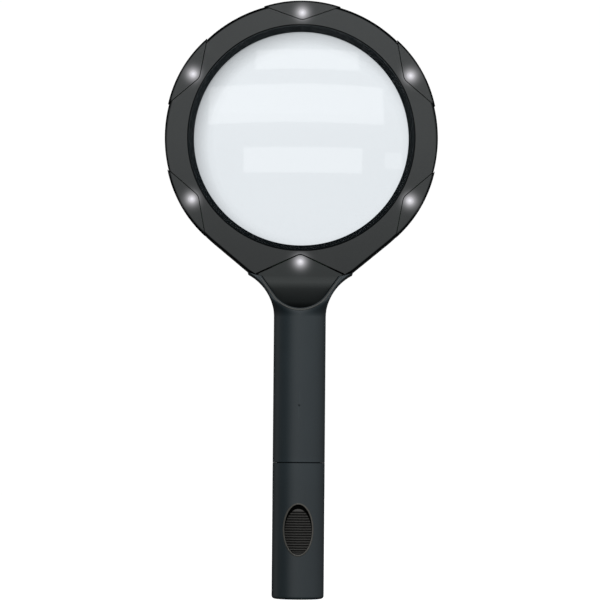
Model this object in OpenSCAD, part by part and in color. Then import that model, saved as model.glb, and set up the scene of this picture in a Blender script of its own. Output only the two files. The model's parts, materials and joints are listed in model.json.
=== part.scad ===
// Low vision magnifier: a round lens head with six lamps, on a two-cell handle.
// Millimetres. The origin is the centre of the handle's flat end. +Z runs up the handle
// to the lens, and the front, with the lamps and the switch, faces -Y.

/* [Head] */
// Height of the lens centre above the handle's end
head_z = 192; // [190:0.5:193]
// Outer radius of the head ring
head_r = 57.1; // [57:0.1:57.4]
// Thickness of the head, front to back
head_d = 15; // [14.8:0.1:16]
// Radius of the clear lens opening
clear_r = 45; // [44.5:0.5:45.5]
// Inner radius of the ring's flat face
face_r = 47.4; // [47.2:0.1:47.8]
// Slope of the head's straight lower sides below the horizontal
flare_angle = 39.6; // [38:0.2:41]

/* [Lens] */
// Radius of the lens blank
lens_r = 47.8; // [47.4:0.1:47.9]
// Thickness of the lens at its edge
lens_edge = 3; // [2.5:0.1:3]
// Thickness of the lens at its centre
lens_centre = 12; // [9:0.5:12]

/* [Lamps] */
// Number of lamps around the lens
lamps = 6; // [6]
// Radius of the circle the lamps stand on
lamp_ring_r = 52.5; // [52:0.1:53]
// Radius of one lamp
lamp_r = 1.5; // [1.2:0.1:1.5]
// Outer radius of the lamp covers, just proud of the ring
cover_r = 57.85; // [57.6:0.05:58]
// Slope of a cover's V-shaped sides
cover_slope = 19.5; // [18:0.5:22]
// Distance from the lens centre to the tip of a cover's V
cover_tip = 49.3; // [49:0.1:50]

/* [Handle] */
// Width of the handle, side to side
handle_w = 21.7; // [21.5:0.1:22]
// Depth of the handle, front to back
handle_d = 25; // [25:0.1:26]
// Wall thickness of the shells
wall = 1.6; // [1.5:0.1:1.6]
// Height of the seam between the battery cap and the handle shells
seam_z = 56.5; // [55:0.5:58]
// Length of the spigot that enters the battery cap
spigot_len = 10.5; // [8:0.5:10.5]
// Height where the handle starts to flare into the neck
neck_z = 117; // [116:0.5:118]
// Height of the joint between the neck and the head
neck_top = 135.5; // [135:0.1:136]
// Radius of the neck's concave sides
neck_r = 20.5; // [20:0.1:21]
// Rounding of the handle's end
end_round = 1.3; // [1:0.1:1.4]

/* [Switch] */
// Height of the centre of the switch opening
switch_z = 28.75; // [28.5:0.05:29]
// Half the width of the oval opening
opening_w = 5.7; // [5.2:0.1:5.8]
// Half the height of the oval opening
opening_h = 10.3; // [10:0.1:10.4]
// Stroke of the slider
stroke = 1.5; // [1:0.1:1.5]
// Spacing of the ribs on the slider
rib_pitch = 1.05; // [0.9:0.05:1.3]
// Number of ribs on the slider
ribs = 16; // [10:1:16]

/* [Cells] */
// Radius of an AA cell
cell_r = 7.25; // [7.1:0.05:7.25]
// Length of an AA cell with its terminal
cell_len = 50.4; // [50:0.1:50.4]
// Distance of the cells behind the handle's middle plane
cell_y = 2; // [1.8:0.1:2]
// Height of the lower cell's flat end
cell_z = 8.1; // [8:0.1:8.2]

/* [Hidden] */

$fn = 96;
lens_fn = 720;
eps = 0.01;
gap = 0.06;
play = 0.1;
far = 100;

charcoal = [0.2, 0.22, 0.23];
soft_black = [0.08, 0.09, 0.1];
brass_tone = [0.8, 0.68, 0.35];
steel_tone = [0.7, 0.71, 0.73];

// Head levels along Y, from the face at the front to the back
face_y = -head_d / 2;
back_y = head_d / 2;
edge_cut = 0.8;
face_t = 1.6;
notch_y = -3;
lens_y = -1;
pocket_r = lens_r + 0.6;
pocket_wall_r = pocket_r + 1.2;
rear_r = clear_r + 1;
shell_r = head_r - wall;
seat_y = 1.7;
board_y = -2.6;
board_t = 1;
board_in = 50.3;
board_out = 55.2;
boss_ring_r = 53.9;
boss_r = 1.9;

// Screws: shank, tapped hole, clear hole, head and head recess radii
shank_r = 0.9;
tap_r = 0.95;
clear_hole_r = 1.05;
screw_head_r = 2;
screw_pocket_r = 2.15;

// Handle section: two round ends joined by a flat-sided middle
handle_r = handle_w / 2;
side_y = (handle_d - handle_w) / 2;
inner_r = handle_r - wall;
spigot_r = inner_r - play;
spigot_wall = 1.1;
spigot_in = spigot_r - spigot_wall;
spigot_z = seam_z - spigot_len;
front_y = -handle_d / 2;

// Neck and scoop
neck_x = handle_r + neck_r;
arm_x = 21.9;
cavity_w = 8.4;
cavity_z = 119.5;
shield_z = 120.75;
shield_tip_z = 143;
shield_w = 18.2;
shield_side_z = 134.35;
shoulder_z = 133.9;
lip_r = 12.5;
lip_turn = 54.8;
scoop_drop = 3;
scoop_start_z = 131.9;
tongue_y = [2, 5];
tongue_w = 8;
tongue_z = [117.5, 137];
grip_screw_x = 5;
grip_screw_z = 126;
lamp_drop = 0.4;

// Contacts above the cells
stack_top = cell_z + 2 * cell_len + 0.05;
plate_z = stack_top + 0.15;
plate_t = 0.3;
holder_z = plate_z + plate_t + 0.05;
holder_t = 2;
strip_y = -9.35;
strip_z = 46.15;
strip_top = 114;
contact_y = -6.7;

// Switch levels along Y
guide_y = -8.35;
guide_t = 1;
guide_w = 6.2;
blade_y = guide_y + guide_t + 0.05;
base_y = -6.35;
base_t = 0.85;
base_w = 5.2;
base_z = [12.4, 45.6];
base_screws = [[3.6, 14.2], [-3.6, 44]];

// ---- shared shapes ----

// Upright plate: a front-view outline (X, Z) given thickness from y0 to y1
module plate(y0, y1) {
    translate([0, y1, 0]) rotate([90, 0, 0]) linear_extrude(y1 - y0) children();
}

// Ring or disc turned about the lens axis: profile is (radius, Y)
module turned(fn = $fn) {
    translate([0, 0, head_z]) rotate([-90, 0, 0]) rotate_extrude($fn = fn) children();
}

// Places a front-view outline drawn with its radius along +Y at an angle around the lens
module around(angle) {
    translate([0, head_z]) rotate(angle - 90) children();
}

// Round bar from front to back: at (x, z), from y0 to y1
module bar(x, z, y0, y1, r) {
    translate([x, y1, z]) rotate([90, 0, 0]) cylinder(h = y1 - y0, r = r, $fn = 48);
}

module ring_bar(angle, ring_r, y0, y1, r) {
    bar(ring_r * cos(angle), head_z + ring_r * sin(angle), y0, y1, r);
}

module box(x, y, z) {
    translate([x[0], y[0], z[0]]) cube([x[1] - x[0], y[1] - y[0], z[1] - z[0]]);
}

// Handle section with round ends of radius r
module handle_section(r) {
    for (side = [-1, 1]) translate([0, side * side_y]) circle(r);
    square([2 * r, 2 * side_y], center = true);
}

module handle_bar(z0, z1, r) {
    translate([0, 0, z0]) linear_extrude(z1 - z0) handle_section(r);
}

// Half-space in front of or behind the split plane
module front_half() {
    box([-far, far], [-far, 0], [-far, 3 * far]);
}

module rear_half() {
    box([-far, far], [gap, far], [-far, 3 * far]);
}

// Screw along Y with its head at the back: cross recess in the head
module screw(x, z, tip_y, seat, head_h) {
    difference() {
        union() {
            bar(x, z, tip_y, seat + eps, shank_r);
            bar(x, z, seat, seat + head_h, screw_head_r);
        }
        for (turn = [0, 90])
            translate([x, seat + head_h, z]) rotate([0, turn, 0])
                cube([2.4, 1.4, 0.5], center = true);
    }
}

// Round wire through a list of points
module wire(points, r) {
    for (i = [0 : len(points) - 2]) {
        step = points[i + 1] - points[i];
        length = norm(step);
        translate(points[i])
            rotate([0, acos(step[2] / length), atan2(step[1], step[0])])
                cylinder(h = length, r = r, $fn = 24);
    }
    for (p = points) translate(p) sphere(1.15 * r, $fn = 24);
}

// ---- head ----

lamp_angles = [for (i = [0 : lamps - 1]) 90 - i * 360 / lamps];
boss_angles = [for (i = [0 : lamps - 1]) i * 360 / lamps];

// Straight lower sides of the head, tangent to the ring, down to the neck
module head_flare() {
    touch = [head_r * sin(flare_angle), head_z - head_r * cos(flare_angle)];
    foot_x = touch[0] - (touch[1] - neck_top) / tan(flare_angle);
    difference() {
        polygon([touch, [-touch[0], touch[1]], [-foot_x, neck_top], [foot_x, neck_top]]);
        translate([0, head_z]) circle(shell_r + wall / 2);
    }
}

// V-shaped outline of a lamp cover, with a rounded tip; inset shrinks it evenly
module cover_outline(inset = 0, reach = cover_r) {
    tip = cover_tip + inset / cos(cover_slope);
    tip_round = 4;
    centre = tip + tip_round / cos(cover_slope);
    meet = [tip_round * sin(cover_slope), centre - tip_round * cos(cover_slope)];
    side_x = 24;
    side = tip + side_x * tan(cover_slope);
    intersection() {
        union() {
            translate([0, centre]) circle(tip_round, $fn = 48);
            polygon([meet, [side_x, side], [side_x, 70], [-side_x, 70], [-side_x, side],
                     [-meet[0], meet[1]]]);
        }
        circle(reach);
    }
}

// Shield outline of the bottom cover: an upturned V over straight sides and a round lip
module shield_outline(grow = 0) {
    steps = 12;
    lip = [for (i = [-steps : steps])
               let (a = -90 - lip_turn * i / steps)
               [0, shield_z + lip_r] + (lip_r + grow) * [cos(a), sin(a)]];
    rise = shoulder_z - grow - lip[0][1];
    shoulder = lip[0] + rise * [1 / tan(lip_turn), 1];
    corner = [shield_w + 2 * grow, shield_side_z - 0.4 * grow];
    polygon(concat([[0, shield_tip_z + 1.1 * grow], corner, shoulder], lip,
                   [[-shoulder[0], shoulder[1]], [-corner[0], corner[1]]]));
}

module above_neck() {
    box([-far, far], [-far, far], [neck_top, 3 * far]);
}

// Way through the ring's wall for the two wires
module wire_way() {
    box([-6, 6], [-2, seat_y - 0.1], [neck_top - 2, neck_top + 2]);
}

module head_front() {
    color(charcoal) difference() {
        intersection() {
            union() {
                turned() polygon([[face_r, face_y], [head_r - edge_cut, face_y],
                                  [head_r, face_y + edge_cut], [head_r, 0], [shell_r, 0],
                                  [shell_r, face_y + face_t], [pocket_wall_r, face_y + face_t],
                                  [pocket_wall_r, seat_y - 0.1], [pocket_r, seat_y - 0.1],
                                  [pocket_r, face_y + 0.6], [face_r, face_y + 0.6]]);
                plate(face_y, 0) head_flare();
                for (a = boss_angles) ring_bar(a, boss_ring_r, face_y + 1, 0, boss_r);
            }
            above_neck();
        }
        for (a = lamp_angles)
            if (a != -90) plate(face_y - 1, notch_y) around(a) cover_outline(0, 70);
        plate(face_y - 1, notch_y) shield_outline(0.12);
        for (a = boss_angles) ring_bar(a, boss_ring_r, -4.5, 1, tap_r);
        wire_way();
    }
}

module head_rear() {
    rib_in = 50.2;
    rib_out = 51.2;
    color(charcoal) difference() {
        union() {
            intersection() {
                union() {
                    turned() polygon([[rear_r, seat_y], [rib_in, seat_y],
                                      [rib_in, board_y + board_t + 0.1],
                                      [rib_out, board_y + board_t + 0.1],
                                      [rib_out, back_y - face_t], [shell_r, back_y - face_t],
                                      [shell_r, gap], [head_r, gap],
                                      [head_r, back_y - edge_cut], [head_r - edge_cut, back_y],
                                      [face_r, back_y], [rear_r, seat_y + 1.6]]);
                    plate(gap, back_y) head_flare();
                    for (a = boss_angles) ring_bar(a, boss_ring_r, gap, back_y - 1, 2.2);
                }
                above_neck();
            }
            tongue();
        }
        for (a = boss_angles) {
            ring_bar(a, boss_ring_r, -1, back_y + 1, clear_hole_r);
            ring_bar(a, boss_ring_r, back_y - 1.5, back_y + 1, screw_pocket_r);
        }
        wire_way();
    }
}

// Tongue that the two handle shells clamp
module tongue() {
    difference() {
        box([-tongue_w, tongue_w], tongue_y, tongue_z);
        for (side = [-1, 1]) bar(side * grip_screw_x, grip_screw_z, 1, 6, 1.3);
    }
}

// Biconvex lens: two equal spherical faces and a plain edge
module lens() {
    sag = (lens_centre - lens_edge) / 2;
    face_radius = (lens_r * lens_r + sag * sag) / (2 * sag);
    centre = face_radius - lens_centre / 2;
    color([0.85, 0.93, 0.98, 0.4]) turned(lens_fn) intersection() {
        translate([0, lens_y + centre]) circle(face_radius, $fn = lens_fn);
        translate([0, lens_y - centre]) circle(face_radius, $fn = lens_fn);
        translate([0, lens_y - lens_centre]) square([lens_r, 2 * lens_centre]);
    }
}

module lens_bezel() {
    flange_y = [face_y + 0.7, -3.07];
    color(soft_black) turned() polygon([[clear_r, flange_y[1]], [pocket_r - play, flange_y[1]],
                                        [pocket_r - play, flange_y[0]],
                                        [face_r - play, flange_y[0]],
                                        [face_r - play, face_y + 0.2],
                                        [face_r - 0.3, face_y + 0.2],
                                        [clear_r, flange_y[1] - 0.6]]);
}

module lens_gasket() {
    color("dimgray") turned() translate([rear_r + 0.3, 1.05])
        square([pocket_r - rear_r - 0.5, seat_y - 1.05 - gap]);
}

module led_cover(angle) {
    skin = 1.5;
    color(charcoal) difference() {
        intersection() {
            plate(face_y, notch_y - play) around(angle) cover_outline(0.12);
            turned() polygon([[40, face_y], [cover_r - edge_cut, face_y],
                              [cover_r, face_y + edge_cut], [cover_r, 0], [40, 0]]);
        }
        plate(face_y + skin, 0) around(angle) intersection() {
            cover_outline(1.2, cover_r - skin);
            translate([-far, pocket_wall_r + 0.9]) square(2 * far);
        }
        ring_bar(angle, lamp_ring_r, face_y - 1, 0, lamp_r + 0.15);
    }
}

// Front surface of the scoop as Y at height z: level with the face, then sinking inwards
function scoop_y(z) =
    let (t = max(0, min(1, (scoop_start_z - z) / (scoop_start_z - shield_z))))
    face_y + scoop_drop * pow(t, 1.2);

module led_cover_bottom() {
    levels = [for (z = [shield_z - 1.5 : 1.1 : scoop_start_z]) z];
    skin = 1.5;
    color(charcoal) difference() {
        intersection() {
            plate(face_y, 0) shield_outline();
            translate([-far / 2, 0, 0]) rotate([90, 0, 90]) linear_extrude(far)
                polygon(concat([for (z = levels) [scoop_y(z), z]],
                               [[face_y, 150], [face_y + skin, 150]],
                               [for (i = [len(levels) - 1 : -1 : 0])
                                   [scoop_y(levels[i]) + skin, levels[i]]]));
        }
        ring_bar(-90, lamp_ring_r - lamp_drop, face_y - 1, 0, lamp_r + 0.15);
    }
}

function lamp_radius(angle) = angle == -90 ? lamp_ring_r - lamp_drop : lamp_ring_r;

// One lamp: flange, body with a domed end, and two leads
module led(angle) {
    ring_r = lamp_radius(angle);
    base = board_y - 0.05;
    dome_y = face_y + 0.2 + lamp_r;
    color([0.95, 0.95, 1]) {
        ring_bar(angle, ring_r, base - 0.8, base, lamp_r + 0.2);
        ring_bar(angle, ring_r, dome_y, base, lamp_r);
        translate([ring_r * cos(angle), dome_y, head_z + ring_r * sin(angle)])
            sphere(lamp_r, $fn = 48);
        for (side = [-1, 1]) lead(angle, side, base - eps, board_y + board_t + 0.5, 0.25);
    }
}

module lead(angle, side, y0, y1, r) {
    ring_bar(angle + side * 1.1, lamp_radius(angle), y0, y1, r);
}

module led_board() {
    color("seagreen") difference() {
        turned() translate([board_in, board_y]) square([board_out - board_in, board_t]);
        for (a = boss_angles) ring_bar(a, boss_ring_r, -5, 1, boss_r + 0.2);
        for (a = lamp_angles, side = [-1, 1]) lead(a, side, -5, 1, 0.4);
    }
}

module resistors() {
    chip = [2, 1.2, 0.55];
    color("dimgray") for (a = lamp_angles)
        translate([0, board_y + board_t + 0.05 + chip[2], head_z]) rotate([90, 0, 0])
            rotate(a - 76) translate([-chip[0] / 2, 52.2]) cube(chip);
}

module head_screws() {
    color(steel_tone) for (a = boss_angles)
        screw(boss_ring_r * cos(a), head_z + boss_ring_r * sin(a), -4.4, back_y - 1.45, 1.2);
}

// ---- handle ----

// Front view of the neck: concave sides that open out to the head
module neck_outline() {
    difference() {
        translate([-arm_x, neck_z]) square([2 * arm_x, neck_top - play - neck_z]);
        for (side = [-1, 1]) translate([side * neck_x, neck_z]) circle(neck_r);
    }
}

// Side view of the handle: full depth, thinning to the head's thickness at the top
module handle_side_view() {
    translate([-far / 2, 0, 0]) rotate([90, 0, 90]) linear_extrude(far)
        polygon([[front_y, seam_z], [front_y, shield_z - 2], [face_y, neck_top - play],
                 [back_y, neck_top - play], [-front_y, shield_z], [-front_y, seam_z]]);
}

module handle_body() {
    difference() {
        union() {
            intersection() {
                handle_bar(seam_z, neck_top - play, handle_r);
                handle_side_view();
            }
            plate(face_y, back_y) neck_outline();
        }
        handle_bar(seam_z - 1, cavity_z, inner_r);
    }
}

// Spigot that the battery cap slides over, and the step that ties it to the shells
module spigot() {
    difference() {
        union() {
            handle_bar(spigot_z, seam_z + 1, spigot_r);
            handle_bar(seam_z, seam_z + 3, inner_r + eps);
        }
        handle_bar(spigot_z - 1, seam_z + 4, spigot_in);
    }
}

// Ribs that cradle the upper cell and hold the contact holder down
module cradle_ribs() {
    for (z = [70, 88, 104]) difference() {
        handle_bar(z, z + 1.5, inner_r + eps);
        translate([0, cell_y, z - 1]) cylinder(h = 4, r = cell_r + 0.15);
        strip_slot();
    }
    top_rib = holder_z + holder_t + 0.1;
    difference() {
        handle_bar(top_rib, top_rib + 1.2, inner_r + eps);
        handle_bar(top_rib - 1, top_rib + 3, inner_r - 1.6);
        strip_slot();
    }
}

module strip_slot() {
    box([-2.4, 2.4], [strip_y - 4, strip_y + 0.8], [strip_z, strip_top + 2]);
}

module grip_front() {
    color(charcoal) {
        difference() {
            intersection() {
                union() {
                    handle_body();
                    spigot();
                    cradle_ribs();
                }
                front_half();
            }
            box([-cavity_w, cavity_w], [-1.2, 1], [cavity_z - 1, neck_top]);
            plate(-20, -2.7) shield_outline(0.12);
        }
        for (side = [-1, 1]) difference() {
            bar(side * grip_screw_x, grip_screw_z, -1.25, tongue_y[0] - play, 2.2);
            bar(side * grip_screw_x, grip_screw_z, -1, 3, tap_r);
        }
    }
}

module grip_rear() {
    seat = 8.5;
    color(charcoal) difference() {
        intersection() {
            union() {
                handle_body();
                spigot();
                cradle_ribs();
            }
            rear_half();
        }
        box([-cavity_w, cavity_w], [-1, tongue_y[1] + 0.3], [cavity_z - 8, neck_top]);
        for (side = [-1, 1]) {
            bar(side * grip_screw_x, grip_screw_z, 3, 14, clear_hole_r);
            bar(side * grip_screw_x, grip_screw_z, seat, 14, screw_pocket_r);
        }
    }
}

module grip_screws() {
    color(steel_tone) for (side = [-1, 1])
        screw(side * grip_screw_x, grip_screw_z, -0.9, 8.55, 1.2);
}

// One AA cell: wrapped can, shoulder and positive terminal
module cell(z) {
    nub = 1.3;
    can = cell_len - nub;
    translate([0, cell_y, z]) rotate_extrude()
        polygon([[0, 0], [cell_r - 0.5, 0], [cell_r, 0.5], [cell_r, can - 0.7],
                 [cell_r - 0.7, can], [2.75, can], [2.75, cell_len], [0, cell_len]]);
}

module battery_lower() {
    color("goldenrod") cell(cell_z);
}

module battery_upper() {
    color("goldenrod") cell(cell_z + cell_len + 0.05);
}

module positive_contact() {
    color(brass_tone) {
        box([-4, 4], [cell_y - 4, cell_y + 4], [plate_z, plate_z + plate_t]);
        box([-1.5, 1.5], [1.85, 2.15], [plate_z, plate_z + 3.8]);
    }
}

module contact_holder() {
    color(soft_black) difference() {
        handle_bar(holder_z, holder_z + holder_t, inner_r - play);
        box([-1.8, 1.8], [1.6, 2.4], [holder_z - 1, holder_z + 3]);
        strip_slot();
    }
}

module negative_strip() {
    color(brass_tone) {
        box([-2, 2], [strip_y, strip_y + plate_t], [strip_z, strip_top]);
        box([-2, 2], [strip_y, contact_y + 0.3], [strip_z, strip_z + plate_t]);
    }
}

module wire_positive() {
    color("firebrick") wire([[1.6, 1.2, 113.6], [1.6, 0.4, 114.6], [1.6, 0.4, 136.5],
                             [2.6, -0.9, 138.8]], 0.55);
}

module wire_negative() {
    color("black") wire([[-1.6, -8.3, 113.4], [-1.6, -7.6, 115], [-1.6, 0.4, 118],
                         [-1.6, 0.4, 136.5], [-2.6, -0.9, 138.8]], 0.55);
}

// ---- battery cap ----

// Oval of the switch opening, grown or shrunk evenly
module oval(grow = 0) {
    scale([opening_w + grow, opening_h + grow]) circle(1);
}

// Handle section with a rounded lower edge
module cap_body() {
    module edge_profile() {
        translate([handle_r - end_round, end_round]) circle(end_round);
        square([handle_r - end_round, 2 * end_round]);
        translate([0, end_round]) square([handle_r, seam_z - play - end_round]);
    }
    for (side = [-1, 1]) translate([0, side * side_y, 0]) rotate_extrude() intersection() {
        edge_profile();
        square(far);
    }
    for (side = [0, 1]) mirror([side, 0, 0])
        translate([0, side_y, 0]) rotate([90, 0, 0]) linear_extrude(2 * side_y)
            edge_profile();
}

module battery_cap() {
    floor_t = 2;
    color(charcoal) {
        difference() {
            union() {
                cap_body();
                intersection() {
                    plate(-far, 0) translate([0, switch_z]) oval(0.7);
                    handle_bar(0, seam_z - play, handle_r + 0.15);
                }
            }
            handle_bar(floor_t, seam_z, inner_r);
            plate(-far, 0) translate([0, switch_z]) oval();
        }
        for (s = base_screws) difference() {
            bar(s[0], s[1], front_y + 1, base_y - gap, 1.5);
            bar(s[0], s[1], front_y + 1.8, 0, 0.7);
        }
    }
}

// Coil spring of round wire: the outline is the slice of a coil, swept up with a twist
module battery_spring() {
    coil_r = 4.2;
    wire_r = 0.4;
    pitch = 1.8;
    z0 = 2.45;
    height = cell_z - 0.05 - z0;
    reach = 360 * wire_r / pitch;
    function half_t(a) = sqrt(max(0, wire_r * wire_r - pow(pitch * a / 360, 2)));
    angles = [for (i = [-4 : 4]) reach * sin(i * 22.5)];
    color(steel_tone) translate([0, cell_y, z0])
        linear_extrude(height, twist = -360 * height / pitch, slices = 60, $fn = 12)
            polygon(concat([for (a = angles) (coil_r + half_t(a)) * [cos(a), sin(a)]],
                           [for (i = [len(angles) - 2 : -1 : 1])
                               (coil_r - half_t(angles[i])) * [cos(angles[i]), sin(angles[i])]]));
}

module switch_base() {
    color("saddlebrown") difference() {
        box([-base_w, base_w], [base_y, base_y + base_t], base_z);
        for (s = base_screws) {
            bar(s[0], s[1], base_y - 1, 0, 0.75);
            translate([s[0], base_y + base_t + eps, s[1]]) rotate([90, 0, 0])
                cylinder(h = 0.55, r1 = 1.4, r2 = 0.75, $fn = 48);
        }
    }
}

module switch_screws() {
    color(steel_tone) for (s = base_screws) {
        bar(s[0], s[1], base_y - 2.6, base_y + base_t - 0.1, 0.6);
        translate([s[0], base_y + base_t - 0.02, s[1]]) rotate([90, 0, 0])
            cylinder(h = 0.5, r1 = 1.28, r2 = 0.62, $fn = 48);
    }
}

module switch_contact_upper() {
    color(brass_tone) box([-1.5, 1.5], [contact_y, contact_y + 0.3], [32, strip_z - play]);
}

module switch_contact_lower() {
    color(brass_tone) {
        box([-1.5, 1.5], [contact_y, contact_y + 0.3], [2.1, 23.4]);
        box([-1.5, 1.5], [contact_y, cell_y + 4.5], [2.1, 2.4]);
    }
}

// ---- slider ----

// Thumb piece: the opening's oval cut off by the same oval one stroke lower
module thumb_outline() {
    intersection() {
        oval(-0.12);
        translate([0, -stroke - play]) oval(-0.12);
    }
}

module switch_slider() {
    thumb_top = 0.45;
    groove = 0.45;
    color([0.17, 0.17, 0.17]) {
        difference() {
            intersection() {
                plate(-far, guide_y + 0.1) translate([0, switch_z]) thumb_outline();
                handle_bar(0, far, handle_r + thumb_top);
            }
            for (i = [0 : ribs - 1])
                translate([0, 0, switch_z - 1.2 + (i - (ribs - 1) / 2) * rib_pitch])
                    difference() {
                        handle_bar(0, groove, handle_r + 2);
                        handle_bar(-1, groove + 1, handle_r + thumb_top - 0.4);
                    }
        }
        box([-guide_w, guide_w], [guide_y, guide_y + guide_t],
            [switch_z - 12.1, switch_z + 11.8]);
    }
}

module switch_blade() {
    color(brass_tone) {
        box([-2, 2], [blade_y, blade_y + 0.3], [22, 35]);
        for (z = [22, 33.5]) box([-1, 1], [blade_y, contact_y - 0.05], [z, z + 1.5]);
    }
}

head_front();
head_rear();
lens();
lens_bezel();
lens_gasket();
led_cover(90);  // led_cover_top
led_cover(30);  // led_cover_upper_right
led_cover(-30);  // led_cover_lower_right
led_cover_bottom();
led_cover(-150);  // led_cover_lower_left
led_cover(150);  // led_cover_upper_left
led(90);  // led_top
led(30);  // led_upper_right
led(-30);  // led_lower_right
led(-90);  // led_bottom
led(-150);  // led_lower_left
led(150);  // led_upper_left
led_board();
resistors();
wire_positive();
wire_negative();
head_screws();
grip_front();
grip_rear();
grip_screws();
positive_contact();
contact_holder();
battery_upper();
battery_lower();
negative_strip();
battery_cap();
battery_spring();
switch_base();
switch_contact_upper();
switch_contact_lower();
switch_screws();
switch_slider();
switch_blade();
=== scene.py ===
import json
from math import atan, cos, degrees, hypot, pi, radians, sin, sqrt, tan
import bmesh
import bpy
from mathutils import Matrix, Vector

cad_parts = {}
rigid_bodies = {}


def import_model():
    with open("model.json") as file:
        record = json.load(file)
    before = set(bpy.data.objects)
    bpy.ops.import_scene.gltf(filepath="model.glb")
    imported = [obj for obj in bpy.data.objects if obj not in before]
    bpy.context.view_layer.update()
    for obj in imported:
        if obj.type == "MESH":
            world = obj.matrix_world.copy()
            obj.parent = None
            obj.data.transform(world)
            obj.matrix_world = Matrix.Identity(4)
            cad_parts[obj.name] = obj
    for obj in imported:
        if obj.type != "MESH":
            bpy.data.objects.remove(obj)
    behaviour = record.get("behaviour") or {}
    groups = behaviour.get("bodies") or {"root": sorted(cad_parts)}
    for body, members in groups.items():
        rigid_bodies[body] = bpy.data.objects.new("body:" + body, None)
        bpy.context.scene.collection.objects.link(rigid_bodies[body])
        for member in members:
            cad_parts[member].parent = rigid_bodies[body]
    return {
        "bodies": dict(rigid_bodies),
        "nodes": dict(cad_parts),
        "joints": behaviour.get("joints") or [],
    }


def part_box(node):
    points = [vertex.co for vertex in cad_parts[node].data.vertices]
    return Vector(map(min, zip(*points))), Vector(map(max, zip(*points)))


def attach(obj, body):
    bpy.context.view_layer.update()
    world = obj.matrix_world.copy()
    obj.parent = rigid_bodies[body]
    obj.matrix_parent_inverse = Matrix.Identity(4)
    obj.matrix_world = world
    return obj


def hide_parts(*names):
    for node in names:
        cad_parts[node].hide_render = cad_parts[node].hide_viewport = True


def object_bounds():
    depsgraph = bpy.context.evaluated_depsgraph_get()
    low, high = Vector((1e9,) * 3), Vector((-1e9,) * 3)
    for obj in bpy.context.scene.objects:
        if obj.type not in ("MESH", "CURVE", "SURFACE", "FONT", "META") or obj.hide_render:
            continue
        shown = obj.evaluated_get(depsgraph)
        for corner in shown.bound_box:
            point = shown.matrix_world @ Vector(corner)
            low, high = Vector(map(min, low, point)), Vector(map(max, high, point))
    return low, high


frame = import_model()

cad_low, cad_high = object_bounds()

# The geometry below is worked out in millimetres; meshes are made in metres.
MM = 0.001


def node_box(node):
    """Lowest and highest corners of a CAD node in millimetres."""
    low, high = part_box(node)
    return low / MM, high / MM


# ---- sizes read from the frame ----
lens_low, lens_high = node_box("lens")
front_low = node_box("head_front")[0]
rear_low, rear_high = node_box("head_rear")
cover_high = node_box("led_cover_top")[1]
cap_low, cap_high = node_box("battery_cap")
grip_low, grip_high = node_box("grip_front")
scoop_low, scoop_high = node_box("led_cover_bottom")
lamp_low, lamp_high = node_box("led_top")
thumb_low, thumb_high = node_box("switch_slider")
bezel_low, bezel_high = node_box("lens_bezel")

HEAD_Z = (lens_low.z + lens_high.z) / 2
LENS_R = (lens_high.x - lens_low.x) / 2
LENS_Y = (lens_low.y + lens_high.y) / 2
LENS_T = lens_high.y - lens_low.y
HEAD_R = rear_high.z - HEAD_Z
FACE_Y = front_low.y
BACK_Y = rear_high.y
COVER_R = cover_high.z - HEAD_Z
SEAM_Z = cap_high.z
NECK_TOP = grip_high.z
SPIGOT_Z = grip_low.z
HANDLE_W = (cap_high.x - cap_low.x) / 2
HANDLE_D = cap_high.y
LAMP_RING_R = (lamp_low.z + lamp_high.z) / 2 - HEAD_Z
SCOOP_Z = scoop_low.z
SCOOP_TIP = scoop_high.z
SCOOP_W = scoop_high.x
POCKET_R = (bezel_high.x - bezel_low.x) / 2
CAP_TRAVEL = max(j["range_m"][1] for j in frame["joints"] if j["name"] == "cap_pull")

# ---- sizes of the mouldings ----
WALL = 1.6
FACE_R = 47.4
CLEAR_R = 45.0
EDGE_ROUND = 1.0
COVER_ROUND = 1.25
COVER_BULGE = 6.5
SEAM_GAP = 0.30
SEAM_WIDE = 0.45
FLARE_ANGLE = radians(39.6)
COVER_SLOPE = radians(19.5)
COVER_TIP = 49.3
COVER_DEPTH = 3.0
LAMP_R = 1.5
LAMP_DROP = 0.4
LAMP_FOOT_Y = -2.65
HOLE_PLAY = 0.04
SCREW_R = 2.15
SCREW_RING_R = 53.9
NECK_Z = 117.0
NECK_R = 20.5
ARM_W = 21.9
ARM_ROUND = 0.8
LIP_R = 12.5
LIP_TURN = 54.8
SHOULDER_Z = 133.9
EAR_Z = 134.35
BEAD_OUT = SEAM_GAP + 0.72
SEAM_CUT = 0.16
SWITCH_Z = 28.75
OVAL_W = 5.7
OVAL_H = 10.3
STROKE = 1.5
END_ROUND = 1.3
RIB_PITCH = 1.05
RIBS = 16
RIM = 0.35
MARK_Z = 80.0
CELL_H = 50.4
RING_STEPS = 360
LAMP_ANGLES = {"top": 90, "upper_right": 30, "lower_right": -30,
               "bottom": -90, "lower_left": -150, "upper_left": 150}


# ---- outline and skin helpers ----
def arc(centre, radius, start, end, steps):
    """Points along an arc; angles in degrees."""
    out = []
    for i in range(steps + 1):
        a = radians(start + (end - start) * i / steps)
        out.append((centre[0] + radius * cos(a), centre[1] + radius * sin(a)))
    return out


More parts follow.
